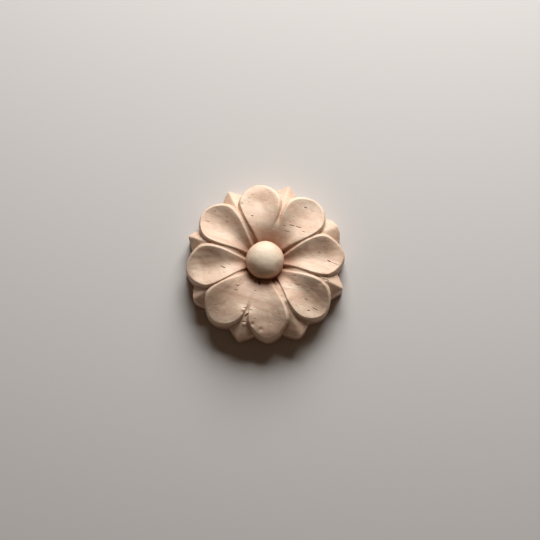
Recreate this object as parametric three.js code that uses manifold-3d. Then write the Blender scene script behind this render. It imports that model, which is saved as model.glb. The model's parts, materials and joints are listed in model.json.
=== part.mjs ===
// A carved wooden rosette: eight scooped petals round a domed button, eight pointed sepals
// showing between the petals, and a flat back. It is cut from one piece of wood.
// Millimetres. The origin is the centre of the flat back, +Z points out of the carved face,
// and +Y runs along the petal that is at the top when the rosette is looked at.

import * as THREE from 'three';
import { mergeVertices } from 'three/addons/utils/BufferGeometryUtils.js';
import Module from 'manifold-3d';

const wasm = await Module();
wasm.setup();

// Driving dimensions
const DIAMETER = 30; // across opposite petal tips
const THICKNESS = 9; // from the flat back to the top of the button
const BUTTON_DIAMETER = 7.3;
const PETAL_COUNT = 8;
const SIDE_LEDGE = 0.38; // how far a petal's side stands out from its rim, in the grooves
const TIP_LEDGE = 0.16; // the same at the petal's tip
const LEDGE_DROP = 0.8; // how far that ledge lies below the rim
const SEPAL_TIP_WIDTH = 0.3; // the blunt end of a sepal
const SEPAL_ROOF_SLOPE = 0.78; // fall of a sepal's two flanks from its keel
const KEEL_ROUNDING = 0.22; // radius worn on to the keel
const GROOVE_OVERLAP = 0.05; // the floor of a groove runs this far into the petals beside it

const RADIUS = DIAMETER / 2;
const PITCH = (2 * Math.PI) / PETAL_COUNT;
const BUTTON_RADIUS = BUTTON_DIAMETER / 2;

// Plan of a petal, as shares of the rosette's radius
const PETAL_ROOT = 0.047; // where its two sides would meet
const PETAL_SHOULDER = 0.76; // where it is widest
const SIDE_SWELL = 1.5; // over 1 keeps the sides slim near the button

// Heights as shares of the thickness
const CROWN_HEIGHT = 0.79; // highest point of a petal's rim
const ROOT_HEIGHT = 0.5; // rim where it meets the button
const SEPAL_KEEL_HEIGHT = 0.6; // keel where it comes out between two petals
const SEPAL_TIP_HEIGHT = 0.4;
const BODY_HEIGHT = 0.4; // the solid wood behind the flower

// Places along the radius, as shares of it
const CROWN_REACH = 0.57;
const SEPAL_SHOULDER = 0.865; // where a sepal is widest
const SEPAL_FILL = 0.62; // share of the pitch that a sepal fills there
const PIT_END = 0.42; // a groove is deepest between the button and here
const WEAR_RUN = 0.15; // over this length before its groove ends, a worn ridge grows whole again
const BODY_REACH = 0.84;

// The two kinds of petal take turns, beginning with a pointed one on +X.
// scoop is the depth of the hollow as a share of the petal's half width, and runsOut is how much
// of that depth is lost at the tip. The lip of the tip begins at the share lipStart of the length.
const POINTED = { archPower: 1.6, archFullness: 0.8, tipHeight: 0.47, scoop: 0.34, runsOut: 0.75 };
const ROUND = { archPower: 1.85, archFullness: 0.6, tipHeight: 0.59, scoop: 0.4, runsOut: 0 };
const LIP_START = 0.45; // share of a petal's length where the lip of its tip begins to rise
const LIP_POWER = 2.6;

// What the carver's hand did: each list runs round from the petal or the groove at +X.
const PETAL_TURNS = [0.3, -1.0, 0.7, 1.4, 1.3, -0.6, -1.8, -0.5]; // degrees off the even pitch
const SEPAL_TURNS = [0.0, 0.9, -0.1, -0.9, 0.9, -0.5, -1.6, -1.2]; // degrees off the even pitch
const PETAL_FILLS = [0.81, 0.82, 0.8, 0.79, 0.82, 0.82, 0.77, 0.81]; // shares of the pitch, at the shoulder
const GROOVE_DEPTHS = [0.85, 0.3, 0.75, 0.85, 0.85, 0.12, 0.7, 0.85]; // below the rims beside it
const PIT_DEPTHS = [0.5, 0.1, 0.4, 0.5, 0.5, 0.3, 0.6, 0.5]; // more than that, beside the button
const GROOVE_ENDS = [0.66, 0.58, 0.66, 0.66, 0.66, 0.66, 0.64, 0.66]; // shares of the radius
const LEAF_RUNS = [0.1, 0.25, 0.1, 0.1, 0.1, 0.06, 0.12, 0.1]; // from there to where the leaf is whole
const LEAF_ROUNDNESS = [0.9, 0, 0, 0, 0.3, 0.2, 0.4, 0]; // 0 for straight edges, 1 for an arch
const SEPAL_REACHES = [1.03, 1.03, 1.03, 1.01, 1.005, 1.03, 1.03, 1.03]; // shares of the radius
const RIDGE_WEAR = [0, 0.6, 0, 0, 0, 0.8, 0, 0]; // share of the scoop's depth lost beside a groove

const PETAL_MESH = { along: 14, across: 16, down: 2 };
const SEPAL_MESH = { along: 14, across: 6, down: 1 };
const BUTTON_SEGMENTS = 48;
const BUTTON_RINGS = 12;
const BACK_CUT = 1; // every piece starts this far behind the back, and is then cut flat

const wood = new THREE.MeshStandardMaterial({ color: 0xdcb491, roughness: 0.62, metalness: 0 });

const smooth = (from, to, x) => {
  const t = THREE.MathUtils.clamp((x - from) / (to - from), 0, 1);
  return t * t * (3 - 2 * t);
};

// The shape of petal number i in its own frame, where x runs from the rosette's centre to the tip.
// Its left ridge is the one beside groove i, and its right ridge the one beside the groove before.
function petalShape(i) {
  const kind = i % 2 === 0 ? POINTED : ROUND;
  const fill = PETAL_FILLS[i]; // share of the pitch that the rim fills
  const root = PETAL_ROOT * RADIUS;
  const shoulder = PETAL_SHOULDER * RADIUS;
  const tip = RADIUS - TIP_LEDGE;
  const halfWidth = shoulder * Math.tan((PITCH / 2) * fill);

  const sideAt = (x) => {
    const share = THREE.MathUtils.clamp((x - root) / (shoulder - root), 0, 1);
    return halfWidth * Math.sin((Math.PI / 2) * share ** SIDE_SWELL);
  };
  const archAt = (y) => {
    const across = Math.min(1, Math.abs(y) / halfWidth);
    return shoulder + (tip - shoulder) * (1 - across ** kind.archPower) ** kind.archFullness;
  };
  const depthAt = (x) => {
    return kind.scoop * sideAt(x) * (1 - kind.runsOut * smooth(shoulder, RADIUS, x));
  };
  const freshRim = (x) => THICKNESS * rimShare(x / RADIUS, kind.tipHeight);
  // side is above 0 on the left and below 0 on the right
  const grooveOn = (side) => (side > 0 ? i : i - 1 + PETAL_COUNT) % PETAL_COUNT;
  const wornRim = (x, side) => freshRim(x) - RIDGE_WEAR[grooveOn(side)] * depthAt(x);
  // A worn ridge grows whole again where its groove ends
  const wearAt = (x, side) => {
    const end = GROOVE_ENDS[grooveOn(side)] + WEAR_RUN / 3;
    return RIDGE_WEAR[grooveOn(side)] * (1 - smooth(end - WEAR_RUN, end, x / RADIUS));
  };
  const rimHeight = (x, side) => freshRim(x) - wearAt(x, side) * depthAt(x);
  // along is 0 at the root and 1 on the rim of the tip, and across is -1 and 1 on the side rims
  const scoopHeight = (x, along, across) => {
    const lip = Math.max(0, (along - LIP_START) / (1 - LIP_START)) ** LIP_POWER;
    const rise = across ** 2 + (1 - across ** 2) * lip;
    return freshRim(x) - depthAt(x) * (1 - rise + wearAt(x, across) * rise);
  };
  // Straight out from the rim to the foot of its ledge, seen from the front
  const ledge = (x, y) => {
    if (x <= shoulder) return new THREE.Vector2(0, Math.sign(y) * SIDE_LEDGE);
    const width = THREE.MathUtils.lerp(TIP_LEDGE, SIDE_LEDGE, Math.abs(y) / halfWidth);
    return new THREE.Vector2((x - shoulder) / (tip - shoulder) ** 2, y / halfWidth ** 2).setLength(width);
  };
  return { fill, shoulder, halfWidth, sideAt, archAt, wornRim, rimHeight, scoopHeight, ledge };
}

// Rim height as a share of the thickness: it climbs from the button to the crown, then falls.
function rimShare(reach, tipHeight) {
  const rise = CROWN_HEIGHT - ROOT_HEIGHT;
  const fall = CROWN_HEIGHT - tipHeight;
  const rootReach = BUTTON_RADIUS / RADIUS;
  const before = Math.min(1, (CROWN_REACH - reach) / (CROWN_REACH - rootReach));
  const after = (reach - CROWN_REACH) / (1 - CROWN_REACH);
  return CROWN_HEIGHT - (reach < CROWN_REACH ? rise * before ** 2 : fall * after ** 2);
}

// A box whose corners (along 0..1, across -1..1, up 0..1) are moved by place(along, across, up).
function bentBox({ along, across, down }, place) {
  const box = new THREE.BoxGeometry(1, 2, 1, along, across, down);
  box.deleteAttribute('normal');
  box.deleteAttribute('uv');
  const closed = mergeVertices(box);
  const points = closed.attributes.position;
  for (let i = 0; i < points.count; i++) {
    const p = place(points.getX(i) + 0.5, points.getY(i), points.getZ(i) + 0.5);
    points.setXYZ(i, p.x, p.y, p.z);
  }
  return closed;
}

// A petal: the scooped top inside its rim, a ledge falling from the rim, and upright sides.
function petal(shape) {
  const start = BUTTON_RADIUS * 0.55;
  return bentBox(PETAL_MESH, (along, across, up) => {
    const swing = Math.sin((Math.PI / 2) * across);
    const sideX = THREE.MathUtils.lerp(start, shape.shoulder, along);
    const endX = shape.archAt(shape.halfWidth * swing);
    const x = THREE.MathUtils.lerp(start, endX, along);
    const y = swing * shape.sideAt(sideX);
    if (up === 1) return new THREE.Vector3(x, y, shape.scoopHeight(x, along, swing));
    const out = shape.ledge(x, y);
    const height = up > 0 ? shape.rimHeight(x, swing) - LEDGE_DROP : -BACK_CUT;
    return new THREE.Vector3(x + out.x, y + out.y, height);
  });
}

// Sepal number i: a narrow floor in groove i between two petals, then a pointed leaf with a keel.
// right and left are the shapes of those petals, apart is half the angle between them, and lean
// is the angle by which the leaf's tip is off the groove's line.
function sepal(i, right, left, apart, lean) {
  const start = BUTTON_RADIUS * 0.55;
  const neck = GROOVE_ENDS[i] * RADIUS;
  const shoulder = SEPAL_SHOULDER * RADIUS;
  const tip = SEPAL_REACHES[i] * RADIUS;
  const widest = shoulder * Math.tan((PITCH / 2) * SEPAL_FILL);

  // From the groove's middle line to the rim of the petal beside it
  const grooveHalfWidth = (x, beside) => {
    const petalX = x * Math.cos((PITCH / 2) * beside.fill);
    const toRim = petalX * Math.sin(apart) - beside.sideAt(petalX) * Math.cos(apart);
    return Math.max(0, toRim) + GROOVE_OVERLAP;
  };
  const halfWidth = (x, beside) => {
    if (x > shoulder) {
      const along = (x - shoulder) / (tip - shoulder);
      const arch = Math.sqrt(1 - along ** 2);
      const share = THREE.MathUtils.lerp(1 - along, arch, LEAF_ROUNDNESS[i]);
      return THREE.MathUtils.lerp(SEPAL_TIP_WIDTH / 2, widest, share);
    }
    return THREE.MathUtils.lerp(grooveHalfWidth(x, beside), widest, smooth(neck, shoulder, x));
  };
  const keelHeight = (x) => {
    const rims = right.wornRim(x, 1) + left.wornRim(x, -1);
    const pit = PIT_DEPTHS[i] * (1 - smooth(BUTTON_RADIUS, PIT_END * RADIUS, x));
    const droop = Math.max(0, (x - neck) / (tip - neck)) ** 2;
    const leaf = THICKNESS * THREE.MathUtils.lerp(SEPAL_KEEL_HEIGHT, SEPAL_TIP_HEIGHT, droop);
    const onLeaf = smooth(neck, neck + LEAF_RUNS[i] * RADIUS, x);
    return THREE.MathUtils.lerp(rims / 2 - GROOVE_DEPTHS[i] - pit, leaf, onLeaf);
  };
  const roof = (x, y) => {
    const slope = SEPAL_ROOF_SLOPE * smooth(neck, shoulder, x);
    return slope * (Math.hypot(y, KEEL_ROUNDING) - KEEL_ROUNDING);
  };
  return bentBox(SEPAL_MESH, (along, across, up) => {
    const x = THREE.MathUtils.lerp(start, tip, along);
    const y = across * halfWidth(x, across > 0 ? left : right);
    const aside = x * Math.tan(lean) * smooth(neck, tip, x);
    return new THREE.Vector3(x, y + aside, up > 0 ? keelHeight(x) - roof(x, y) : -BACK_CUT);
  });
}

// The domed button, standing on a plug that reaches down into the wood.
function button() {
  const centre = THICKNESS - BUTTON_RADIUS;
  const profile = [new THREE.Vector2(0, -BACK_CUT), new THREE.Vector2(BUTTON_RADIUS, -BACK_CUT)];
  for (let i = 0; i < BUTTON_RINGS; i++) {
    const angle = (Math.PI / 2) * (i / BUTTON_RINGS);
    profile.push(
      new THREE.Vector2(BUTTON_RADIUS * Math.cos(angle), centre + BUTTON_RADIUS * Math.sin(angle)),
    );
  }
  profile.push(new THREE.Vector2(0, THICKNESS));
  return new THREE.LatheGeometry(profile, BUTTON_SEGMENTS).rotateX(Math.PI / 2);
}

// The wood behind the flower, which closes whatever the petals and sepals leave open.
function body() {
  const reach = BODY_REACH * RADIUS;
  const profile = [
    new THREE.Vector2(0, -BACK_CUT),
    new THREE.Vector2(reach, -BACK_CUT),
    new THREE.Vector2(reach, THICKNESS * BODY_HEIGHT),
    new THREE.Vector2(0, THICKNESS * BODY_HEIGHT),
  ];
  return new THREE.LatheGeometry(profile, BUTTON_SEGMENTS).rotateX(Math.PI / 2);
}

// Everything behind the flat back
function behindTheBack() {
  const side = DIAMETER * 2;
  return new THREE.BoxGeometry(side, side, side).translate(0, 0, -side / 2);
}

// A closed three.js geometry as a solid that can be joined and cut
function toSolid(geometry) {
  const bare = geometry.clone();
  bare.deleteAttribute('normal');
  bare.deleteAttribute('uv');
  const merged = mergeVertices(bare);
  return new wasm.Manifold(
    new wasm.Mesh({
      numProp: 3,
      vertProperties: new Float32Array(merged.attributes.position.array),
      triVerts: new Uint32Array(merged.index.array),
    }),
  );
}

function toGeometry(solid) {
  const mesh = solid.getMesh();
  const geometry = new THREE.BufferGeometry();
  geometry.setAttribute('position', new THREE.BufferAttribute(mesh.vertProperties, 3));
  geometry.setIndex(new THREE.BufferAttribute(mesh.triVerts, 1));
  geometry.computeVertexNormals();
  return geometry;
}

function carvedRosette() {
  const shapes = PETAL_TURNS.map((_, i) => petalShape(i));
  const turns = PETAL_TURNS.map(THREE.MathUtils.degToRad);
  let solid = toSolid(button()).add(toSolid(body()));
  for (let i = 0; i < PETAL_COUNT; i++) {
    const next = (i + 1) % PETAL_COUNT;
    const middle = (turns[i] + turns[next]) / 2;
    const apart = (PITCH + turns[next] - turns[i]) / 2;
    const lean = THREE.MathUtils.degToRad(SEPAL_TURNS[i]) - middle;

    const blade = petal(shapes[i]).rotateZ(i * PITCH + turns[i]);
    const leaf = sepal(i, shapes[i], shapes[next], apart, lean);
    solid = solid.add(toSolid(blade)).add(toSolid(leaf.rotateZ((i + 0.5) * PITCH + middle)));
  }
  return toGeometry(solid.subtract(toSolid(behindTheBack())));
}

const rosette = new THREE.Group();
const carved = new THREE.Mesh(carvedRosette(), wood);
carved.name = 'carved_rosette';
rosette.add(carved);

export default rosette;
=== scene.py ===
# %% [markdown]
# # A carved wooden rosette
#
# The real object is a small round flower cut from one piece of pale hardwood, 30 mm across, made
# to be glued to a door or a drawer front. A carver sets in the outline of the eight petals, hollows
# each one with a gouge, rounds the button in the middle, and cuts a pointed sepal into what is left
# between two petals. This file makes it in the same order: petals, sepals and button first as
# separate blocks, then one piece of wood, then the wear and the torn grain, the finish and the light.

# %% Load the solid that everything is made round
import json
from math import cos, hypot, pi, radians, sin, sqrt, tan

import bpy
from mathutils import Matrix, Vector, noise
from mathutils.bvhtree import BVHTree
from mathutils.kdtree import KDTree

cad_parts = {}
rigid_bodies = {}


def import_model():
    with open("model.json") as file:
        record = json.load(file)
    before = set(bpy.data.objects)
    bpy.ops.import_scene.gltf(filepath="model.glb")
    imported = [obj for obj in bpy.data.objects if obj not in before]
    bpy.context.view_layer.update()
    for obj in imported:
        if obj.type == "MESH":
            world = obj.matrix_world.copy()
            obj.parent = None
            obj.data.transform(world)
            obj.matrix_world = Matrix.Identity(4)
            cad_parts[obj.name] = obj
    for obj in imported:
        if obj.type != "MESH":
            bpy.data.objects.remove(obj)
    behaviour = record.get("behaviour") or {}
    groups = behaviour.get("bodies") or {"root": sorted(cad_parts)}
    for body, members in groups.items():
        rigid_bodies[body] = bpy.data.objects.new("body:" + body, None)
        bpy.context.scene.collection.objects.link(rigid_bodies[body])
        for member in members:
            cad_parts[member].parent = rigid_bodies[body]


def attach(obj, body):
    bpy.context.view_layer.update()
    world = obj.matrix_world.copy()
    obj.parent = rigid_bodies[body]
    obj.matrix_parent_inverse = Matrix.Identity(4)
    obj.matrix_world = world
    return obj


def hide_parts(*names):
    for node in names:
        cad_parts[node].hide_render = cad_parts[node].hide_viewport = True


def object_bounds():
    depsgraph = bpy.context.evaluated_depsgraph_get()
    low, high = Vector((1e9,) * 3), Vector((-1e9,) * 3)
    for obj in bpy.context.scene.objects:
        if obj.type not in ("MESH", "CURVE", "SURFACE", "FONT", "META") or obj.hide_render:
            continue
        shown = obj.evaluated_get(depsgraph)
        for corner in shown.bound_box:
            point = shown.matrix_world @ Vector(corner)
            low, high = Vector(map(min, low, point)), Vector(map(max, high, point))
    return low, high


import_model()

solid_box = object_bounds()
print("solid:", [[round(value, 5) for value in corner] for corner in solid_box])

# %% [markdown]
# ## Working a thousand times too large
#
# One Blender unit is one millimetre while the flower is carved, and the finished piece is scaled to
# metres at the end. The remesher and the boolean tools have fixed smallest steps that suit a thing
# about thirty units wide, and would blur one that is three hundredths of a unit wide. The sizes of
# the whole come from the solid, so that the fine piece always fits it.

# %% Sizes of the whole, in millimetres
MM = 0.001
lowest, highest = (Vector(corner) / MM for corner in solid_box)
RADIUS = (highest.x - lowest.x) / 2
THICKNESS = highest.z
PETALS = 8
PITCH = 2 * pi / PETALS
BUTTON_RADIUS = 3.55
BELOW_BACK = 1.0
print(f"radius {RADIUS:.2f} mm, thickness {THICKNESS:.2f} mm")

# %% [markdown]
# ## Helpers for selecting, shaping and finishing
#
# Blender's operators work on whatever is selected, so every step starts by selecting nothing. A
# grid that is added as a flat primitive becomes a curved sheet when each of its corners is put
# where a rule says. It becomes a block when it is extruded downwards in edit mode.

# %% Helpers for numbers
def clamp(value, low=0.0, high=1.0):
    return max(low, min(high, value))


def mix(a, b, share):
    return a + (b - a) * share


def ease(start, end, value):
    share = clamp((value - start) / (end - start))
    return share * share * (3 - 2 * share)


# %% Helpers for objects
def select_only(*objects):
    if bpy.context.object and bpy.context.object.mode != "OBJECT":
        bpy.ops.object.mode_set(mode="OBJECT")
    bpy.ops.object.select_all(action="DESELECT")
    for one in objects:
        one.select_set(True)
    if objects:
        bpy.context.view_layer.objects.active = objects[0]


def apply_modifier(piece, kind, **settings):
    select_only(piece)
    modifier = piece.modifiers.new(kind.title(), kind)
    for key, value in settings.items():
        setattr(modifier, key, value)
    bpy.ops.object.modifier_apply(modifier=modifier.name)


def shaped_grid(name, columns, rows, place):
    """A grid whose corners, (-1..1, -1..1), are moved to place(along, across)."""
    select_only()
    bpy.ops.mesh.primitive_grid_add(x_subdivisions=columns, y_subdivisions=rows, size=2)
    sheet = bpy.context.object
    sheet.name = name
    for corner in sheet.data.vertices:
        corner.co = place((corner.co.x + 1) / 2, corner.co.y)
    return sheet


def extrude_down(depth):
    """In edit mode: a further copy of the selected faces, lower by depth, with walls to it."""
    bpy.ops.mesh.extrude_region_move(TRANSFORM_OT_translate={"value": (0, 0, -depth)})


def finish_block(block):
    """Extrudes the lowest faces, which are still selected, to a flat bottom below the back."""
    bpy.ops.object.mode_set(mode="EDIT")
    extrude_down(BELOW_BACK)
    bpy.ops.transform.resize(value=(1, 1, 0), center_override=(0, 0, -BELOW_BACK))
    bpy.ops.mesh.select_all(action="SELECT")
    bpy.ops.mesh.normals_make_consistent(inside=False)
    bpy.ops.object.mode_set(mode="OBJECT")
    return block


# %% [markdown]
# ## Petals
#
# The petals take turns: a pointed one whose hollow runs out at its tip, then a round one with a lip
# all the way round, like the bowl of a spoon. Each is a sheet with a hollow inside its rim. The rim
# climbs from the button to a crown and droops towards the tip. No two petals of a hand carved
# flower are quite alike, so short lists hold what differs, beginning with the petal on the right and
# going round to the left: the height of root and tip, the turn in degrees, the share of its place
# that it fills and the depth of its hollow. The last lists are of the grooves, each on the left of
# its petal. Two of the ridges between petals are worn or were never cut.

# %% The shape of a petal
PETAL_ROOT = 0.047 * RADIUS
PETAL_SHOULDER = 0.76 * RADIUS
SIDE_SWELL = 1.5
SIDE_LEDGE = 0.38
TIP_LEDGE = 0.16
LEDGE_DROP = 0.8
CROWN_HEIGHT = 0.79 * THICKNESS
CROWN_REACH = 0.57 * RADIUS
LIP_START = 0.45
LIP_POWER = 3.6
POINTED = {"arch_power": 1.68, "fullness": 0.72, "scoop": 0.43, "runs_out": 0.75}
ROUND = {"arch_power": 1.85, "fullness": 0.6, "scoop": 0.5, "runs_out": 0.0}
ROOT_HEIGHTS = [share * THICKNESS for share in (0.51, 0.51, 0.51, 0.51, 0.51, 0.56, 0.57, 0.53)]
TIP_HEIGHTS = [share * THICKNESS for share in (0.47, 0.59, 0.52, 0.58, 0.46, 0.5, 0.5, 0.47)]
PETAL_TURNS = [0.3, -1.0, 0.7, 1.4, 1.3, -0.6, -1.8, -0.5]
PETAL_FILLS = [0.81, 0.82, 0.8, 0.79, 0.82, 0.82, 0.77, 0.81]
SCOOP_SHARES = [1.05, 0.66, 0.78, 0.82, 0.92, 0.46, 0.55, 0.72]
RIDGE_WEAR = [0, 0.72, 0, 0, 0, 0.85, 0, 0]
PAST_GROOVE = 1 / 3
WEAR_RUNS = [share * RADIUS for share in (0.15, 0.34, 0.15, 0.15, 0.15, 0.18, 0.15, 0.15)]
GROOVE_ENDS = [share * RADIUS for share in (0.66, 0.58, 0.66, 0.66, 0.66, 0.66, 0.64, 0.66)]


class Petal:
    """One petal in its own frame, where x runs from the centre of the flower to the tip.

    side is above 0 on the left of its middle line and below 0 on the right.
    """

    def __init__(self, number):
        self.number = number % PETALS
        self.kind = POINTED if number % 2 == 0 else ROUND
        self.turn = radians(PETAL_TURNS[self.number])
        self.fill = PETAL_FILLS[self.number]
        self.half_width = PETAL_SHOULDER * tan(PITCH / 2 * self.fill)
        self.scoop = self.kind["scoop"] * SCOOP_SHARES[self.number]
        self.root_height = ROOT_HEIGHTS[self.number]
        self.tip_height = TIP_HEIGHTS[self.number]
        self.end = RADIUS - TIP_LEDGE - PETAL_SHOULDER

    def fresh_rim(self, x):
        """The rim climbs from the button to the crown, then falls to the tip's height."""
        if x < CROWN_REACH:
            before = min(1, (CROWN_REACH - x) / (CROWN_REACH - BUTTON_RADIUS))
            return CROWN_HEIGHT - (CROWN_HEIGHT - self.root_height) * before**2
        after = (x - CROWN_REACH) / (RADIUS - CROWN_REACH)
        return CROWN_HEIGHT - (CROWN_HEIGHT - self.tip_height) * after**2

    def side_at(self, x):
        """How far the rim is from the middle line, up to the petal's shoulder."""
        share = clamp((x - PETAL_ROOT) / (PETAL_SHOULDER - PETAL_ROOT))
        return self.half_width * sin(pi / 2 * share**SIDE_SWELL)

    def arch_at(self, y):
        """How far out the rim of the tip is, at a distance to the side."""
        across = min(1, abs(y) / self.half_width)
        arch = (1 - across ** self.kind["arch_power"]) ** self.kind["fullness"]
        return PETAL_SHOULDER + self.end * arch

    def depth_at(self, x):
        """How deep the hollow is under its rims, on the middle line."""
        runs_out = self.kind["runs_out"] * ease(PETAL_SHOULDER, RADIUS, x)
        return self.scoop * self.side_at(x) * (1 - runs_out)

    def groove_beside(self, side):
        """The number of the groove on that side of the petal."""
        return self.number if side > 0 else (self.number - 1) % PETALS

    def worn_rim(self, x, side):
        """The height of the rim on that side, worn as far as its ridge is anywhere."""
        wear = RIDGE_WEAR[self.groove_beside(side)]
        return self.fresh_rim(x) - wear * self.depth_at(x)

    def wear_at(self, x, side):
        """How much of the ridge on that side is worn away. It grows whole again past its groove."""
        groove = self.groove_beside(side)
        run = WEAR_RUNS[groove]
        end = GROOVE_ENDS[groove] + run * PAST_GROOVE
        return RIDGE_WEAR[groove] * (1 - ease(end - run, end, x))

    def scoop_height(self, x, along, across):
        """along is 0 at the root and 1 on the tip's rim, and across is -1 and 1 on the side rims."""
        lip = max(0, (along - LIP_START) / (1 - LIP_START)) ** LIP_POWER
        rise = across**2 + (1 - across**2) * lip
        hollow = 1 - rise + self.wear_at(x, across) * rise
        return self.fresh_rim(x) - self.depth_at(x) * hollow

    def ledge(self, x, y):
        """Outwards from the rim to the foot of its bevel, seen from the front."""
        if x <= PETAL_SHOULDER:
            return Vector((0, SIDE_LEDGE if y > 0 else -SIDE_LEDGE, 0))
        width = mix(TIP_LEDGE, SIDE_LEDGE, abs(y) / self.half_width)
        outwards = Vector(((x - PETAL_SHOULDER) / self.end**2, y / self.half_width**2, 0))
        return outwards.normalized() * width


# %% [markdown]
# ## From a petal's rule to a block
#
# The rim of a real petal isn't a knife edge: sandpaper has rounded it over a tenth of a millimetre,
# and that soft band is what catches the light. A remesher would make a sharp edge jagged, so the
# rounding is in the sheet from the start. It needs the distance from each corner to the rim, which
# a search tree of points along the rim gives. The gouge leaves faint flutes along the hollow, a few
# hundredths of a millimetre deep.
#
# Outside the rim a bevel goes down to the groove. The knife leaned the same way all the time, so a
# bevel is broad and shallow where it faces the upper edge of the photograph, and narrow and steep
# where it faces the lower one.

# %% Eight petals as blocks
PETAL_COLUMNS = 64
PETAL_ROWS = 52
CROWDED = 1.5
HIDDEN_START = BUTTON_RADIUS * 0.55
RIM_ROUNDING = 0.11
BEVEL_STEEPNESS = 0.9
FLUTE_DEPTH = 0.035
FLUTE_WIDTH = 0.7
FLUTE_LENGTH = 6.0
FLUTE_STEP = 5.3
RIM_POINTS = 300
BROAD_AZIMUTH = radians(76)
BROAD_BEVELS_FACE = Vector((cos(BROAD_AZIMUTH), sin(BROAD_AZIMUTH), 0))
STEEP_FACING = -0.4
BROAD_FACING = 0.7
STEEP_WIDTH = 0.75
BROAD_WIDTH = 1.3
STEEP_DROP = 0.65
BROAD_DROP = 0.42


def rim_tree(petal):
    """A search tree of points along the petal's two sides and round its tip, seen from the front."""
    tree = KDTree(3 * RIM_POINTS)
    for step in range(RIM_POINTS):
        share = step / (RIM_POINTS - 1)
        x = mix(HIDDEN_START, PETAL_SHOULDER, share)
        swing = sin(pi * (share - 0.5))
        y = petal.half_width * swing
        tree.insert((x, petal.side_at(x), 0), 3 * step)
        tree.insert((x, -petal.side_at(x), 0), 3 * step + 1)
        tree.insert((petal.arch_at(y), y, 0), 3 * step + 2)
    tree.balance()
    return tree


def rounded_off(distance, radius):
    """How far a rounded edge lies below the sharp one, at a distance in from it."""
    start = radius * BEVEL_STEEPNESS
    if distance >= start:
        return 0
    return radius - sqrt(radius**2 - (start - distance) ** 2)


def petal_block(number):
    petal = Petal(number)
    rim = rim_tree(petal)

    def place(along, across):
        along = 1 - (1 - along) ** CROWDED
        swing = sin(pi / 2 * across)
        x = mix(HIDDEN_START, petal.arch_at(petal.half_width * swing), along)
        y = swing * petal.side_at(mix(HIDDEN_START, PETAL_SHOULDER, along))
        to_rim = rim.find((x, y, 0))[2]
        rounding = RIM_ROUNDING * (1 - petal.wear_at(x, swing))
        flutes = noise.noise((x / FLUTE_LENGTH, y / FLUTE_WIDTH, number * FLUTE_STEP))
        z = petal.scoop_height(x, along, swing) - rounded_off(to_rim, rounding)
        return Vector((x, y, z + FLUTE_DEPTH * flutes * ease(0, 1, to_rim)))

    block = shaped_grid(f"petal_{number}", PETAL_COLUMNS, PETAL_ROWS, place)
    bpy.ops.object.mode_set(mode="EDIT")
    bpy.ops.mesh.select_all(action="SELECT")
    extrude_down(LEDGE_DROP)
    bpy.ops.object.mode_set(mode="OBJECT")
    turned = Matrix.Rotation(number * PITCH + petal.turn, 3, "Z")
    for corner in block.data.vertices:
        if corner.select:
            out = petal.ledge(corner.co.x, corner.co.y)
            facing = (turned @ out).normalized().dot(BROAD_BEVELS_FACE)
            broad = ease(STEEP_FACING, BROAD_FACING, facing)
            corner.co += out * mix(STEEP_WIDTH, BROAD_WIDTH, broad)
            corner.co.z += LEDGE_DROP - mix(STEEP_DROP, BROAD_DROP, broad)
    finish_block(block)
    block.data.transform(Matrix.Rotation(number * PITCH + petal.turn, 4, "Z"))
    return block


petals = [petal_block(number) for number in range(PETALS)]
print("petals:", sum(len(block.data.polygons) for block in petals), "faces")

# %% [markdown]
# ## Sepals and grooves
#
# Between two petals the carver leaves a narrow groove that deepens to a pit at the button. Outside
# the petals it widens into a pointed leaf with a keel and two sloping flanks, like a small roof.
# One sheet makes both, because on the wood they are one cut. The leaf on the upper right is worn to
# a round knob, and the ones at the bottom have a soft keel.

# %% Eight sepals as blocks
SEPAL_SHOULDER = 0.865 * RADIUS
SEPAL_FILL = 0.62
SEPAL_TIP_WIDTH = 0.3
SEPAL_KEEL_HEIGHT = 0.65 * THICKNESS
SEPAL_TIP_HEIGHT = 0.43 * THICKNESS
SEPAL_ROOF_SLOPE = 0.78
GROOVE_OVERLAP = 0.05
PIT_END = 0.42 * RADIUS
SEPAL_LIFTS = [0.0, 0.0, 0.0, 0.4, 0.2, 0.45, 0.45, 0.65]
SEPAL_TURNS = [0.0, 0.9, -0.1, -0.9, 0.9, -0.5, -1.6, -1.2]
SEPAL_REACHES = [share * RADIUS for share in (1.03, 1.03, 1.03, 1.01, 1.005, 1.03, 1.03, 1.03)]
KEEL_ROUNDINGS = [0.7, 0.5, 0.2, 0.18, 0.4, 0.5, 0.6, 0.25]
LEAF_RUNS = [share * RADIUS for share in (0.1, 0.25, 0.1, 0.1, 0.1, 0.06, 0.12, 0.1)]
LEAF_ROUNDNESS = [0.9, 0, 0, 0, 0.3, 0.2, 0.4, 0]
GROOVE_DEPTHS = [0.65, 0.08, 0.55, 0.45, 0.45, 0.06, 0.42, 0.45]
PIT_DEPTHS = [0.6, 0.1, 0.4, 0.35, 0.35, 0.1, 0.45, 0.45]
SEPAL_COLUMNS = 90
SEPAL_ROWS = 24


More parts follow.
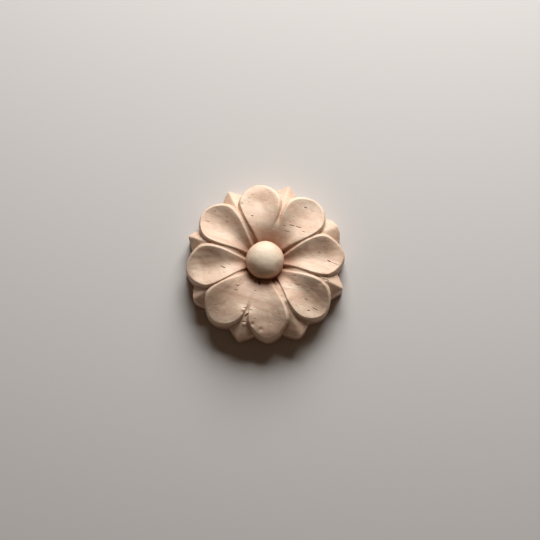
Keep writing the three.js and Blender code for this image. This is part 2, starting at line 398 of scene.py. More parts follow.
def sepal_block(number):
    right = Petal(number)
    left = Petal(number + 1)
    middle = (right.turn + left.turn) / 2
    apart = (PITCH + left.turn - right.turn) / 2
    lean = radians(SEPAL_TURNS[number]) - middle
    neck = GROOVE_ENDS[number]
    tip = SEPAL_REACHES[number]
    widest = SEPAL_SHOULDER * tan(PITCH / 2 * SEPAL_FILL)
    rounding = KEEL_ROUNDINGS[number]

    def half_width(x, beside):
        """From the keel to the petal beside it, and past the petals to the leaf's own edge."""
        if x > SEPAL_SHOULDER:
            along = (x - SEPAL_SHOULDER) / (tip - SEPAL_SHOULDER)
            arch = sqrt(max(0, 1 - along**2))
            return mix(SEPAL_TIP_WIDTH / 2, widest, mix(1 - along, arch, LEAF_ROUNDNESS[number]))
        petal_x = x * cos(PITCH / 2 * beside.fill)
        to_rim = petal_x * sin(apart) - beside.side_at(petal_x) * cos(apart)
        return mix(max(0, to_rim) + GROOVE_OVERLAP, widest, ease(neck, SEPAL_SHOULDER, x))

    def keel_height(x):
        """The groove's floor, which climbs to the keel of the leaf."""
        rims = right.worn_rim(x, 1) + left.worn_rim(x, -1)
        pit = PIT_DEPTHS[number] * (1 - ease(BUTTON_RADIUS, PIT_END, x))
        droop = max(0, (x - neck) / (tip - neck)) ** 2
        leaf = mix(SEPAL_KEEL_HEIGHT, SEPAL_TIP_HEIGHT, droop) + SEPAL_LIFTS[number]
        on_leaf = ease(neck, neck + LEAF_RUNS[number], x)
        return mix(rims / 2 - GROOVE_DEPTHS[number] - pit, leaf, on_leaf)

    def place(along, across):
        x = mix(HIDDEN_START, tip, along)
        y = across * half_width(x, left if across > 0 else right)
        slope = SEPAL_ROOF_SLOPE * ease(neck, SEPAL_SHOULDER, x)
        roof = slope * (hypot(y, rounding) - rounding)
        aside = x * tan(lean) * ease(neck, tip, x)
        return Vector((x, y + aside, keel_height(x) - roof))

    block = shaped_grid(f"sepal_{number}", SEPAL_COLUMNS, SEPAL_ROWS, place)
    bpy.ops.object.mode_set(mode="EDIT")
    bpy.ops.mesh.select_all(action="SELECT")
    bpy.ops.object.mode_set(mode="OBJECT")
    finish_block(block)
    block.data.transform(Matrix.Rotation((number + 0.5) * PITCH + middle, 4, "Z"))
    return block


sepals = [sepal_block(number) for number in range(PETALS)]
print("sepals:", sum(len(block.data.polygons) for block in sepals), "faces")

# %% [markdown]
# ## Button and body
#
# The button is a low dome on a short post. A sphere is the nearest primitive: it is pressed flatter,
# its lower half is cut off with bisect, and the open edge is extruded down into the wood. The body
# is the wood that closes everything behind the flower.

# %% Button and body as blocks
ROUND_SIDES = 96
BUTTON_RISE = 2.75
BODY_REACH = 0.84 * RADIUS
BODY_HEIGHT = 0.4 * THICKNESS


def button_block():
    select_only()
    centre = (0, 0, THICKNESS - BUTTON_RISE)
    bpy.ops.mesh.primitive_uv_sphere_add(
        segments=ROUND_SIDES,
        ring_count=ROUND_SIDES // 2,
        radius=BUTTON_RADIUS,
        location=centre,
    )
    bpy.ops.object.transform_apply(location=True, rotation=False, scale=False)
    block = bpy.context.object
    block.name = "button"
    bpy.ops.object.mode_set(mode="EDIT")
    bpy.ops.mesh.select_all(action="SELECT")
    bpy.ops.transform.resize(value=(1, 1, BUTTON_RISE / BUTTON_RADIUS), center_override=centre)
    bpy.ops.mesh.bisect(plane_co=centre, plane_no=(0, 0, 1), use_fill=True, clear_inner=True)
    bpy.ops.object.mode_set(mode="OBJECT")
    return finish_block(block)


def body_block():
    select_only()
    depth = BODY_HEIGHT + BELOW_BACK
    middle = (0, 0, (BODY_HEIGHT - BELOW_BACK) / 2)
    bpy.ops.mesh.primitive_cylinder_add(vertices=ROUND_SIDES, radius=BODY_REACH, depth=depth, location=middle)
    bpy.ops.object.transform_apply(location=True, rotation=False, scale=False)
    return bpy.context.object


blocks = petals + sepals + [button_block(), body_block()]
print("blocks:", len(blocks))

# %% [markdown]
# ## One piece of wood
#
# A voxel remesh turns the blocks, which pass through each other, into one closed skin. Its step, in
# millimetres, is finer than the rounding of a rim. Smoothing then takes the sharp edges off, as the
# carver's sandpaper does, and bisect cuts the back flat.

# %% Join, remesh, soften and cut the back flat
VOXEL = 0.09
HALFWAY = 0.5
SANDING_ROUNDS = 2
select_only(*blocks)
bpy.ops.object.join()
rosette = bpy.context.object
rosette.name = "rosette"
apply_modifier(rosette, "REMESH", mode="VOXEL", voxel_size=VOXEL, adaptivity=0)
apply_modifier(rosette, "SMOOTH", factor=HALFWAY, iterations=SANDING_ROUNDS)
bpy.ops.object.mode_set(mode="EDIT")
bpy.ops.mesh.select_all(action="SELECT")
bpy.ops.mesh.bisect(plane_co=(0, 0, 0), plane_no=(0, 0, 1), use_fill=True, clear_inner=True)
bpy.ops.object.mode_set(mode="OBJECT")
print("rosette:", len(rosette.data.polygons), "faces")

# %% [markdown]
# ## What a hand leaves
#
# A machined flower would be perfectly even. This one was pared with gouges and rubbed down by hand,
# so its faces swell and dip by a few hundredths of a millimetre, and the edge of its back is rubbed
# round. Each corner of the mesh is moved along its normal by smooth noise. The noise has no random
# seed: it is the same at the same place each time.

# %% Uneven faces and a rubbed back edge
# Each swell has its width and its depth in millimetres.
SWELLS = [(2.6, 0.08), (0.9, 0.03)]
EDGE_HEIGHT = 0.35
EDGE_WEAR = 0.14
WEAR_PATCH = 1.5


def worn_place(place, outwards):
    swell = sum(depth * noise.noise(place / width) for width, depth in SWELLS)
    moved = place + outwards * swell * ease(0, EDGE_HEIGHT, place.z)
    if place.z < EDGE_HEIGHT:
        wear = EDGE_WEAR * (1 - max(0, place.z) / EDGE_HEIGHT) ** 2
        wear *= 1 + noise.noise(place / WEAR_PATCH)
        moved -= Vector((place.x, place.y, 0)).normalized() * wear
    return moved


# Blender works out every normal again after a corner has moved, so they are all read first.
before = [(corner.co.copy(), corner.normal.copy()) for corner in rosette.data.vertices]
for corner, (place, outwards) in zip(rosette.data.vertices, before):
    corner.co = worn_place(place, outwards)
print("worn by hand:", len(rosette.data.vertices), "corners")

# %% [markdown]
# ## Where the photographer stood
#
# The torn grain below is placed where the photograph shows it. A ray from the camera through a
# pixel of the photograph ends on the wood at that place, so the camera's place is settled first:
# almost straight above the flower, 12.5 degrees towards its lower edge and turned a little. Pixels
# count from the photograph's upper left corner.

# %% Viewpoint, in millimetres
PICTURE = 540
PIXELS_PER_MM = 5.32
CENTRE_PIXEL = (265.0, 262.5)
TILT = radians(12.5)
ROLL = radians(4.3)
CAMERA_DISTANCE = 400.0
AIM_HEIGHT = 4.0
turn_back = Matrix.Rotation(-ROLL, 3, "Z")
towards_camera = turn_back @ Vector((0, -sin(TILT), cos(TILT)))
camera_up = turn_back @ Vector((0, cos(TILT), sin(TILT)))
camera_right = camera_up.cross(towards_camera)


def in_picture(pixel_x, pixel_y):
    """From one place to another in the plane that faces the camera, by this many pixels."""
    return (camera_right * pixel_x - camera_up * pixel_y) / PIXELS_PER_MM


off_centre = in_picture(CENTRE_PIXEL[0] - PICTURE / 2, CENTRE_PIXEL[1] - PICTURE / 2)
aim = Vector((0, 0, AIM_HEIGHT)) - off_centre
camera_place = aim + towards_camera * CAMERA_DISTANCE


def on_wood(tree, pixel_x, pixel_y):
    """The place on the wood that a pixel shows, and the direction that the wood faces there."""
    target = aim + in_picture(pixel_x - PICTURE / 2, pixel_y - PICTURE / 2)
    place, normal, _, _ = tree.ray_cast(camera_place, (target - camera_place).normalized())
    return place, normal


print("camera at", [round(value, 1) for value in camera_place])

# %% [markdown]
# ## Chips and burrs
#
# Where a gouge ran across the grain it lifted small burrs and broke chips off the edges. Each is a
# soft bump or dent, so the corners near its place are moved along the surface's normal by a bell
# curve. A width is the bell's radius in millimetres, and a height below 0 is a dent.

# %% Burrs and dents, each at a pixel of the photograph, with its width and height in millimetres
BURRS = {
    "burr where the two lower petals meet": (243.4, 309.7, 0.3, 0.22),
    "burr on the bottom left leaf": (244.0, 324.0, 0.38, 0.2),
    "lip under the crack of the lower right leaf": (325.5, 281.5, 0.35, 0.18),
    "dent over that lip": (320.5, 283.0, 0.4, -0.12),
    "chip in the top petal's left edge": (241.7, 204.1, 0.35, -0.16),
    "chip in the bottom petal's left edge": (252.4, 324.3, 0.35, -0.16),
    "lower chip there": (260.8, 329.3, 0.35, -0.12),
    "flat on the right petal's upper edge": (312.0, 238.2, 0.8, -0.07),
    "filled groove, lower right": (286.5, 300.5, 0.6, 0.25),
    "hollow beside the button, upper right": (277.0, 232.0, 1.6, -0.12),
    "flat on the button, lower left": (253.0, 269.0, 1.2, -0.14),
    "flat on the button, lower right": (279.0, 267.0, 1.0, -0.12),
    "lump on the button, upper left": (256.0, 250.0, 0.9, 0.07),
    "wood left under the button": (262.5, 284.0, 1.1, 0.25),
}
BELL_REACH = 2.5
BELL_BASE = 2.718

wood_tree = BVHTree.FromObject(rosette, bpy.context.evaluated_depsgraph_get())
corner_tree = KDTree(len(rosette.data.vertices))
for corner in rosette.data.vertices:
    corner_tree.insert(corner.co, corner.index)
corner_tree.balance()
for pixel_x, pixel_y, width, height in BURRS.values():
    place, normal = on_wood(wood_tree, pixel_x, pixel_y)
    for _, index, distance in corner_tree.find_range(place, width * BELL_REACH):
        bell = BELL_BASE ** -((distance / width) ** 2)
        rosette.data.vertices[index].co += normal * height * bell
print("burrs and dents:", len(BURRS))

# %% [markdown]
# ## Fewer triangles
#
# A voxel remesh makes squares of the same small size everywhere, far more than the flat walls and
# the gentle hollows need. The Decimate modifier joins them where that changes the shape least, so
# that the rims and the grooves keep theirs. It comes before the slits, which are finer still.

# %% Thin the mesh out where it is flat
MOST_TRIANGLES = 180000
triangles = sum(len(face.vertices) - 2 for face in rosette.data.polygons)
apply_modifier(rosette, "DECIMATE", ratio=min(1.0, MOST_TRIANGLES / triangles))
print("rosette:", triangles, "triangles thinned to", len(rosette.data.polygons))

# %% [markdown]
# ## Torn grain
#
# This is a wood with open pores. Where the tool met them they tore into short dark slits, nearly all
# along the grain, which runs a little downhill to the right. Painted dashes would look printed from
# the side, so each slit is really cut: a sphere is stretched to the slit's length, width and depth,
# roughened, sunk halfway into the wood, and taken away with a Boolean modifier.

# %% Slits, each from one pixel of the photograph to another, with its width and depth in millimetres
SLITS = {
    "upper right petal, long slit, inner half": (289.0, 224.5, 294.8, 226.1, 0.17, 0.24),
    "upper right petal, long slit, outer half": (295.2, 226.0, 302.2, 228.3, 0.19, 0.24),
    "upper right petal, pit near the tip": (304.0, 207.1, 307.2, 208.0, 0.2, 0.25),
    "upper right petal, short one by the ridge": (282.6, 224.9, 286.0, 225.8, 0.12, 0.12),
    "upper right petal, lower slit": (283.3, 230.3, 291.0, 232.4, 0.11, 0.12),
    "upper right petal, one below the long slit": (301.8, 231.1, 305.2, 232.1, 0.15, 0.14),
    "right petal, head of the crack": (327.2, 260.2, 331.0, 262.0, 0.24, 0.36),
    "right petal, crack": (330.2, 261.8, 338.8, 265.0, 0.1, 0.26),
    "right petal, spot": (317.4, 251.9, 321.0, 252.9, 0.14, 0.14),
    "upper left petal, slit at its left": (204.7, 220.4, 210.3, 222.1, 0.13, 0.12),
    "upper left petal, spot": (213.4, 210.9, 216.2, 211.8, 0.15, 0.14),
    "upper left petal, middle spot": (225.4, 216.6, 228.4, 217.5, 0.14, 0.14),
    "upper left petal, lower spot": (225.8, 221.2, 228.0, 221.8, 0.17, 0.16),
    "top petal, spot at its left": (250.8, 215.2, 254.0, 216.2, 0.2, 0.26),
    "top petal, high spot": (251.0, 193.9, 253.8, 194.7, 0.13, 0.12),
    "left petal, slit": (220.3, 265.8, 225.9, 268.2, 0.2, 0.28),
    "lower left petal, upper spot": (236.1, 284.9, 239.2, 285.8, 0.2, 0.22),
    "lower left petal, spot under it": (233.8, 289.0, 238.0, 290.6, 0.15, 0.16),
    "between the lower petals, dark tear": (242.0, 307.0, 247.6, 308.4, 0.18, 0.3),
    "between the lower petals, dash": (249.0, 309.1, 253.6, 310.4, 0.15, 0.18),
    "between the lower petals, mouth of the cut": (244.0, 316.8, 249.2, 312.6, 0.34, 0.5),
    "bottom left leaf, slot": (240.6, 321.0, 246.4, 321.6, 0.22, 0.36),
    "bottom petal, near the button": (254.0, 290.3, 256.8, 291.0, 0.15, 0.15),
    "bottom petal, slit": (266.5, 321.4, 275.5, 323.9, 0.09, 0.1),
    "bottom petal, left edge": (252.8, 317.9, 256.4, 318.9, 0.13, 0.12),
    "lower right petal, long line, first part": (294.6, 283.4, 301.2, 285.7, 0.14, 0.18),
    "lower right petal, long line, second part": (301.2, 285.7, 307.6, 287.8, 0.1, 0.12),
    "lower right petal, long line, end": (308.0, 288.0, 314.4, 290.1, 0.08, 0.1),
    "lower right petal, pit on the rim": (293.0, 274.9, 296.0, 275.7, 0.2, 0.24),
    "lower right petal, dash": (304.3, 298.3, 308.4, 300.4, 0.14, 0.16),
    "lower right petal, pit": (307.2, 310.0, 310.2, 310.8, 0.22, 0.26),
    "lower right petal, slit by the tip": (311.6, 306.9, 317.9, 310.5, 0.16, 0.22),
    "lower right petal, hairline": (283.3, 287.5, 295.7, 290.0, 0.07, 0.09),
    "lower right leaf, crack": (322.6, 278.1, 329.7, 280.7, 0.17, 0.34),
    "groove on the left, spot": (240.0, 251.8, 242.4, 252.5, 0.2, 0.22),
    "notch under the button": (259.2, 280.2, 260.2, 285.4, 0.3, 0.4),
}
SLIT_SIDES = 12
SLIT_RINGS = 16
RAGGED = 0.7
RAGGED_LUMPS = 4
RAGGED_STEP = 9.1
SHALLOW = 0.6


def slit_cutter():
    """One cutter of radius 1 whose length runs along X."""
    select_only()
    bpy.ops.mesh.primitive_uv_sphere_add(segments=SLIT_SIDES, ring_count=SLIT_RINGS, radius=1)
    cutter = bpy.context.object
    bpy.ops.transform.rotate(value=pi / 2, orient_axis="Y", center_override=(0, 0, 0))
    bpy.ops.object.transform_apply(location=False, rotation=True, scale=False)
    return cutter


def placed_copy(cutter, number, slit):
    """A roughened copy of the cutter, stretched and sunk halfway into the wood."""
    x1, y1, x2, y2, width, depth = slit
    start, _ = on_wood(wood_tree, x1, y1)
    end, _ = on_wood(wood_tree, x2, y2)
    middle, normal = on_wood(wood_tree, (x1 + x2) / 2, (y1 + y2) / 2)
    along = (end - start).normalized()
    across = normal.cross(along).normalized()
    up = along.cross(across)
    mesh = cutter.data.copy()
    for corner in mesh.vertices:
        local = corner.co.copy()
        in_noise = Vector((local.x * RAGGED_LUMPS + number * RAGGED_STEP, local.y, local.z))
        rough = 1 + RAGGED * noise.noise(in_noise)
        length = along * local.x * (end - start).length / 2
        girth = across * local.y * width / 2 + up * local.z * depth * SHALLOW
        corner.co = middle + length + girth * rough
    piece = bpy.data.objects.new(f"slit_{number}", mesh)
    bpy.context.collection.objects.link(piece)
    return piece


wood_tree = BVHTree.FromObject(rosette, bpy.context.evaluated_depsgraph_get())
pattern = slit_cutter()
cutters = [placed_copy(pattern, number, slit) for number, slit in enumerate(SLITS.values())]
bpy.data.objects.remove(pattern)
print("slits:", len(cutters))

# %% Cut the slits
select_only(*cutters)
bpy.ops.object.join()
cutter = bpy.context.object
rosette.data.materials.append(bpy.data.materials.new("face of the wood"))
cutter.data.materials.append(bpy.data.materials.new("torn wood"))
apply_modifier(
    rosette,
    "BOOLEAN",
    object=cutter,
    operation="DIFFERENCE",
    solver="MANIFOLD",
    material_mode="TRANSFER",
)
bpy.data.objects.remove(cutter)
print("rosette with its slits:", len(rosette.data.polygons), "faces")

# %% Clear away the slivers and crumbs that the cutting left
# What isn't linked with the highest corner, on the button, is a crumb.
SLIVER = 0.004
select_only(rosette)
bpy.ops.object.mode_set(mode="EDIT")
bpy.ops.mesh.select_all(action="SELECT")
bpy.ops.mesh.remove_doubles(threshold=SLIVER)
bpy.ops.mesh.dissolve_degenerate(threshold=SLIVER)
bpy.ops.mesh.select_all(action="DESELECT")
bpy.ops.object.mode_set(mode="OBJECT")
top = max(rosette.data.vertices, key=lambda corner: corner.co.z)
top.select = True
bpy.ops.object.mode_set(mode="EDIT")
bpy.ops.mesh.select_linked()
bpy.ops.mesh.select_all(action="INVERT")
print("crumbs:", rosette.data.total_vert_sel, "corners")
bpy.ops.mesh.delete(type="VERT")
bpy.ops.object.mode_set(mode="OBJECT")
torn_faces = [face.material_index > 0 for face in rosette.data.polygons]
print("torn faces:", sum(torn_faces), "of", len(torn_faces))

# %% [markdown]
# ## Measuring the hollows and the edges
#
# The hollows are darkened and the edges paled: partly sanding dust and wear, partly painted shade
# in the hollows and a painted highlight on the edges.
# To find both, a copy of the piece is smoothed. In a hollow the smooth copy lies above the wood,
# and on an edge it lies below it. The difference is kept as an attribute of the mesh for the
# material to read: a little smoothing finds the edges, and a lot of it finds the broad grooves.

# %% Attributes for the material
EDGE_ROUNDS = 6
GROOVE_ROUNDS = 90


def rise_when_smoothed(rounds):
    """How far each corner is from its smoothed place, outwards, in millimetres."""
    copy = rosette.copy()
    copy.data = rosette.data.copy()
    bpy.context.collection.objects.link(copy)
    apply_modifier(copy, "SMOOTH", factor=HALFWAY, iterations=rounds)
    smoothed = [corner.co.copy() for corner in copy.data.vertices]
    bpy.data.objects.remove(copy)
    return [(there - corner.co).dot(corner.normal) for there, corner in zip(smoothed, rosette.data.vertices)]


def keep(name, domain, values):
    rosette.data.attributes.new(name, "FLOAT", domain).data.foreach_set("value", values)
    values = sorted(values)
    shares = [values[int(share * (len(values) - 1))] for share in (0.02, 0.5, 0.98)]
    print(name, "at 2, 50 and 98 percent:", [round(value, 4) for value in shares])


edges = rise_when_smoothed(EDGE_ROUNDS)
grooves = rise_when_smoothed(GROOVE_ROUNDS)
keep("edge", "POINT", edges)
keep("groove", "POINT", grooves)
keep("torn", "FACE", [float(torn) for torn in torn_faces])

# %% [markdown]
# ## To metres
#
# The flower is finished, so it gets its real size. It rides on the one body there is and stands for
# the plain solid. Smooth shading blends the light across each face from the way its corners lean.
# The corners at the rubbed edge lean outwards, which would put streaks on the few large faces of the
# back, so these are shaded flat.

# %% To metres, and on to its body
FACING_BACK = -0.99
CREASE = radians(50)
rosette.data.transform(Matrix.Scale(MM, 4))
select_only(rosette)
bpy.ops.object.shade_smooth_by_angle(angle=CREASE)
for face in rosette.data.polygons:
    if face.normal.z < FACING_BACK:
        face.use_smooth = False
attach(rosette, "root")
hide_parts("carved_rosette")
print("size in mm:", [round(side / MM, 2) for side in rosette.dimensions])

# %% [markdown]
# ## Rubberwood
#
# The pale wood of cheap carved trim is rubberwood or a wood like it: pinkish tan, dull, with a
# straight and rather plain grain. Its pores are open tubes along the grain, so that a cut surface
# shows them as fine dark dashes. All of it is worked out from the place in the wood and not from
# the surface, which gives dashes on the face and dots where a side cuts across the grain, as in a
# solid block. The grain runs 17 degrees downhill to the right in the photograph.

# %% Colours, and a helper for nodes
def linear(colour):
    """An sRGB hex colour as the linear one that shaders work in."""
    channels = [int(colour[start : start + 2], 16) / 255 for start in (1, 3, 5)]
    return [c / 12.92 if c <= 0.04045 else ((c + 0.055) / 1.055) ** 2.4 for c in channels] + [1]


CREAM = linear("#e8cfb6")
TAN = linear("#dfbfa5")
PINK = linear("#cfa488")
# Painted shade with some dust: this brown darkens the grooves, the wood round the button and the foot.
SHADE_AND_DUST_BROWN = linear("#9a6549")
# A painted highlight with some wear: this cream pales the edges and the top.
HIGHLIGHT_AND_WEAR_CREAM = linear("#f4e3c9")
PORE_BROWN = linear("#6a4128")
TORN_BROWN = linear("#ab8062")
SAWN_GREY = linear("#cbb096")

wood = bpy.data.materials.new("rubberwood, carved and sanded")
wood.use_nodes = True
nodes = wood.node_tree.nodes
shader = nodes["Principled BSDF"]


def add_node(kind, inputs=(), output=0, **settings):
    """Adds a node with its settings and gives each input a value or a link. Gives back one output."""
    node = nodes.new("ShaderNode" + kind)
    for name, value in settings.items():
        setattr(node, name, value)
    for name, value in dict(inputs).items():
        if isinstance(value, bpy.types.NodeSocket):
            wood.node_tree.links.new(value, node.inputs[name])
        else:
            node.inputs[name].default_value = value
    return node.outputs[output]


# %% The wood's own frame, in millimetres along and across the grain
GRAIN_TURN = radians(17) + ROLL
place = add_node("TexCoord", output="Object")
turned = add_node("Mapping", {0: place, "Rotation": (0, 0, GRAIN_TURN)})


def grain_space(along, across):
    """Coordinates in which one unit is this many millimetres along and across the grain."""
    scale = (1 / (along * MM), 1 / (across * MM), 1 / (across * MM))
    return add_node("Mapping", {0: turned, "Scale": scale})


# %% [markdown]
# ## Grain, pores, wear and painted light as masks
#
# A mask is 0 where a finish is absent and 1 where it is whole. Each is made by itself and laid over
# the wood later, so that it can be made stronger or weaker without touching how it is made. A Map
# Range node makes most of them: what lies between its inputs 1 and 2 is turned into what lies
# between its inputs 3 and 4, which are 0 and 1 where nothing is said.

# %% Grain: the length and width of a patch in millimetres, and how finely it is broken up
GRAIN = {
    "tone": (9.0, 3.0, 2.0),
    "streak": (14.0, 0.55, 3.0),
    "fibre": (1.6, 0.11, 2.0),
    "sanding": (0.22, 0.22, 3.0),
}
grain = {}
for name, (along, across, detail) in GRAIN.items():
    patches = {"Vector": grain_space(along, across), "Scale": 1.0, "Detail": detail}
    grain[name] = add_node("TexNoise", patches, "Fac")
print("grain:", len(grain), "patterns")

# %% How much of a pattern shows: the noise at which its mask begins, and at which it is whole
SHOWN = {"tone": (0.38, 0.62), "streak": (0.5, 0.72), "fibre": (0.5, 0.75)}
shown = {}
for name, (least, most) in SHOWN.items():
    shown[name] = add_node("MapRange", {0: grain[name], 1: least, 2: most})
print("shown:", list(shown))


# %% Pores: dashes about a millimetre long and a sixth of a millimetre wide
FAINTEST_CHANCE = 0.25
DARKEST_CHANCE = 0.95
FINE_PORE_SHARE = 0.7


def pores(along, across, reach, seed):
    """The cores of cells that are stretched along the grain, some of them faint."""
    space = add_node("Mapping", {0: grain_space(along, across), "Location": (seed, 0, 0)})
    distance = add_node("TexVoronoi", {"Vector": space, "Scale": 1.0}, "Distance")
    chance = add_node("SeparateColor", {0: distance.node.outputs["Color"]})
    core = add_node("MapRange", {0: distance, 1: reach / 2, 2: reach, 3: 1.0, 4: 0.0})
    strength = add_node("MapRange", {0: chance, 1: FAINTEST_CHANCE, 2: DARKEST_CHANCE})
    return add_node("Math", {0: core, 1: strength}, operation="MULTIPLY")


fine = pores(along=3.0, across=0.32, reach=0.23, seed=0.0)
coarse = pores(along=5.0, across=0.75, reach=0.12, seed=40.0)
fine = add_node("Math", {0: fine, 1: FINE_PORE_SHARE}, operation="MULTIPLY")
pore = add_node("Math", {0: fine, 1: coarse}, operation="MAXIMUM")
print("with pores:", len(nodes), "nodes")

# %% Grooves, edges and torn grain, from the attributes
# The few large faces of the back would smear what was measured at their corners, so it stays off them.
# The measured rise, in millimetres, at which a mask begins and at which it is whole:
MEASURED = {"groove": (0.03, 0.2), "edge": (-0.004, -0.018)}
BACK_ENDS = 0.02 * MM
FACE_STARTS = 0.06 * MM
height = add_node("SeparateXYZ", {0: place}, "Z")
off_back = add_node("MapRange", {0: height, 1: BACK_ENDS, 2: FACE_STARTS})
# The groove mask carries painted shade as well as dust, and the edge mask a painted highlight as well as
# wear.
worn = {}
for name, (least, most) in MEASURED.items():
    rise = add_node("Attribute", output="Fac", attribute_name=name)
    share = add_node("MapRange", {0: rise, 1: least, 2: most})
    worn[name] = add_node("Math", {0: off_back, 1: share}, operation="MULTIPLY")
torn = add_node("Attribute", output="Fac", attribute_name="torn")
print("measured:", list(worn))

# %% Painted highlight at the top, with rubbing; painted shade round the button, with dust, and at the foot
PALER_FROM = 7.0 * MM
PALEST_AT = 8.8 * MM
DARKEST_REACH = 3.6 * MM
UNDARKENED_REACH = 7.2 * MM
UNDARKENED_ABOVE = 6.9 * MM
DARKENED_BELOW = 6.1 * MM
FOOT_DARKEST = 1.0 * MM
FOOT_TOP = 4.6 * MM
# A painted highlight with some rubbing: the highest parts, the crowns and the button, are paled.
lit_and_rubbed_top = add_node("MapRange", {0: height, 1: PALER_FROM, 2: PALEST_AT})
flattened = add_node("Mapping", {0: place, "Scale": (1, 1, 0)})
reach = add_node("VectorMath", {0: flattened}, "Value", operation="LENGTH")
# Painted shade with some dust: the wood round the button, below the crowns, is darkened.
near_button = add_node("MapRange", {0: reach, 1: DARKEST_REACH, 2: UNDARKENED_REACH, 3: 1.0, 4: 0.0})
below_crown = add_node("MapRange", {0: height, 1: UNDARKENED_ABOVE, 2: DARKENED_BELOW})
round_button = add_node("Math", {0: near_button, 1: below_crown}, operation="MULTIPLY")
round_button = add_node("Math", {0: off_back, 1: round_button}, operation="MULTIPLY")
# Painted shade: the wood is darker towards the foot.
low_down = add_node("MapRange", {0: height, 1: FOOT_DARKEST, 2: FOOT_TOP, 3: 1.0, 4: 0.0})
foot = add_node("Math", {0: off_back, 1: low_down}, operation="MULTIPLY")
print("with wear:", len(nodes), "nodes")

# %% The sawn back: the band saw's lines, 1.3 mm apart, across the grain
SAW_LINES = 1.3
ONE_WAVE = pi / 10  # the scale at which a wave texture has one wave a unit
SAW_WANDER = 2.5
SAW_DETAIL = 2.0
saw_space = grain_space(SAW_LINES, SAW_LINES)
waves = {"Vector": saw_space, "Scale": ONE_WAVE, "Distortion": SAW_WANDER, "Detail": SAW_DETAIL}
saw = add_node("TexWave", waves, "Fac", bands_direction="X")
on_back = add_node("Math", {0: 1.0, 1: off_back}, operation="SUBTRACT")
saw_line = add_node("Math", {0: on_back, 1: saw}, operation="MULTIPLY")
print("with the back:", len(nodes), "nodes")

# %% [markdown]
# ## The masks laid over the wood
#
# The wood itself is tan and cream. The other colours are laid over it one after the other: what grew
# in it, what was done to it, and painted shade in the hollows and painted highlights on the edges and
# the top. A Mix node for colours has its share on input 0, the colours below and above on inputs 6
# and 7, and its result on output 2.

# %% Layers of colour: each mask with its strength and its colour
LAYERS = {
    "streaks": (shown["streak"], 0.6, PINK),
    "fibres": (shown["fibre"], 0.35, PINK),
    "pores": (pore, 0.75, PORE_BROWN),
    # Painted shade with some dust: the grooves and hollows are darkened.
    "dust and painted shade in the grooves": (worn["groove"], 0.5, SHADE_AND_DUST_BROWN),
    # A painted highlight with some wear: the edges are paled.
    "worn edges and painted highlight": (worn["edge"], 0.55, HIGHLIGHT_AND_WEAR_CREAM),
    "torn grain": (torn, 1.0, TORN_BROWN),
    # A painted highlight with some rubbing: the top is paled.
    "painted highlight and rubbing on top": (lit_and_rubbed_top, 0.7, HIGHLIGHT_AND_WEAR_CREAM),
    # Painted shade with some dust: the hollows round the button are darkened.
    "painted shade and dust round the button": (round_button, 0.65, SHADE_AND_DUST_BROWN),
    # Painted shade: darker towards the foot.
    "painted shade towards the foot": (foot, 0.4, SHADE_AND_DUST_BROWN),
    "saw lines on the back": (saw_line, 0.3, SAWN_GREY),
}
colour = add_node("Mix", {0: shown["tone"], 6: TAN, 7: CREAM}, 2, data_type="RGBA")
for mask, strength, shade in LAYERS.values():
    share = add_node("Math", {0: mask, 1: strength}, operation="MULTIPLY")
    colour = add_node("Mix", {0: share, 6: colour, 7: shade}, 2, data_type="RGBA")
print("layers:", len(LAYERS))

# %% Relief and gloss: fibres stand a few hundredths of a millimetre proud, pores are holes
RELIEF = 0.07 * MM
RELIEF_STRENGTH = 0.6
SAW_DEPTH = 0.6
GLOSSIEST = 0.52
DULLEST = 0.64
SMOOTH_FIBRE = 0.3
ROUGH_FIBRE = 0.7
DUST_DULLS = 0.2
WOOD_IOR = 1.5
relief = add_node("Math", {0: grain["fibre"], 1: grain["sanding"]}, operation="ADD")
relief = add_node("Math", {0: relief, 1: HALFWAY}, operation="MULTIPLY")
relief = add_node("Math", {0: relief, 1: pore}, operation="SUBTRACT")
saw_cut = add_node("Math", {0: saw_line, 1: SAW_DEPTH}, operation="MULTIPLY")
relief = add_node("Math", {0: relief, 1: saw_cut}, operation="SUBTRACT")
bump = add_node("Bump", {"Height": relief, "Strength": RELIEF_STRENGTH, "Distance": RELIEF})
gloss = {1: SMOOTH_FIBRE, 2: ROUGH_FIBRE, 3: GLOSSIEST, 4: DULLEST}
sanded = add_node("MapRange", {0: grain["fibre"], **gloss})
dusty = add_node("Math", {0: worn["groove"], 1: DUST_DULLS}, operation="MULTIPLY")
dullness = add_node("Math", {0: sanded, 1: dusty}, operation="ADD")
for socket, name in ((colour, "Base Color"), (dullness, "Roughness"), (bump, "Normal")):
    wood.node_tree.links.new(socket, shader.inputs[name])
shader.inputs["IOR"].default_value = WOOD_IOR
rosette.data.materials.clear()
rosette.data.materials.append(wood)
print("wood:", len(nodes), "nodes")

# %% [markdown]
# ## Floor, camera and light
#
# The flower lies on a pale sheet of paper. The camera looks down on it as the photographer did. The
# light in the photograph comes from the top and a little from the right, low and broad: slopes that
# face it are nearly white, the others are brown, and no shadow has a hard edge. That is a softbox
# two thirds as wide as its distance from the flower. The weak light from all round is warm, as from
# a wooden bench.

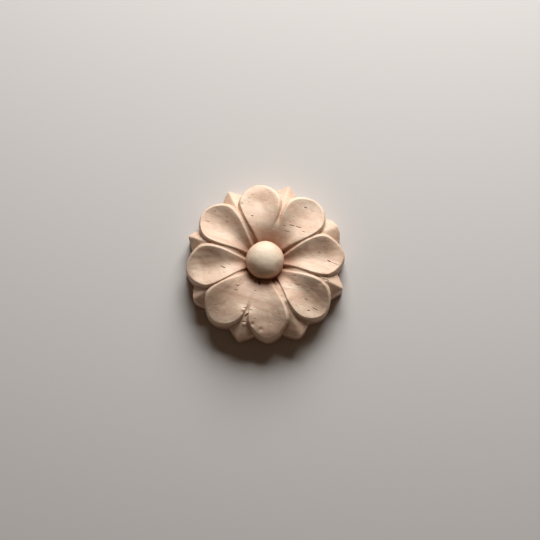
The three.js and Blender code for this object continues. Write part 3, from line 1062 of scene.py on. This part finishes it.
# %% Floor, a hair below the back, so that the two don't share a plane
FLOOR_SIZE = 1.2
FLOOR_GAP = 0.02 * MM
PAPER_GREY = linear("#cfccc8")
PAPER_ROUGHNESS = 0.8
bpy.ops.mesh.primitive_plane_add(size=FLOOR_SIZE, location=(0, 0, -FLOOR_GAP))
floor = bpy.context.object
floor.name = "floor"
paper = bpy.data.materials.new("matt paper")
paper.use_nodes = True
paper.node_tree.nodes["Principled BSDF"].inputs["Base Color"].default_value = PAPER_GREY
paper.node_tree.nodes["Principled BSDF"].inputs["Roughness"].default_value = PAPER_ROUGHNESS
floor.data.materials.append(paper)
print("floor:", FLOOR_SIZE, "m wide")

# %% Camera
SENSOR = 36.0
NEAREST_SEEN = 0.01
bpy.ops.object.camera_add()
camera = bpy.context.object
axes = Matrix((camera_right, camera_up, towards_camera)).transposed().to_4x4()
camera.matrix_world = Matrix.Translation(camera_place * MM) @ axes
camera.data.sensor_width = SENSOR
camera.data.lens = SENSOR * CAMERA_DISTANCE * PIXELS_PER_MM / PICTURE
camera.data.clip_start = NEAREST_SEEN
bpy.context.scene.camera = camera
print(f"lens {camera.data.lens:.1f} mm")

# %% Light
LIGHT_AZIMUTH = radians(76)
LIGHT_ELEVATION = radians(34)
LIGHT_DISTANCE = 0.3
LIGHT_SIZE = 0.2
LIGHT_POWER = 1.42
SKY = linear("#ffd2ae")
SKY_STRENGTH = 0.06
towards_light = Vector((
    cos(LIGHT_AZIMUTH) * cos(LIGHT_ELEVATION),
    sin(LIGHT_AZIMUTH) * cos(LIGHT_ELEVATION),
    sin(LIGHT_ELEVATION),
))
bpy.ops.object.light_add(type="AREA")
key = bpy.context.object
key.data.energy = LIGHT_POWER
key.data.size = LIGHT_SIZE
key.location = towards_light * LIGHT_DISTANCE
key.rotation_euler = towards_light.to_track_quat("Z", "Y").to_euler()
world = bpy.data.worlds.new("studio")
world.use_nodes = True
world.node_tree.nodes["Background"].inputs["Color"].default_value = SKY
world.node_tree.nodes["Background"].inputs["Strength"].default_value = SKY_STRENGTH
bpy.context.scene.world = world
bpy.context.scene.view_settings.view_transform = "Standard"
print("light at", [round(value, 3) for value in key.location], "m")

# %% The end
bpy.context.view_layer.update()
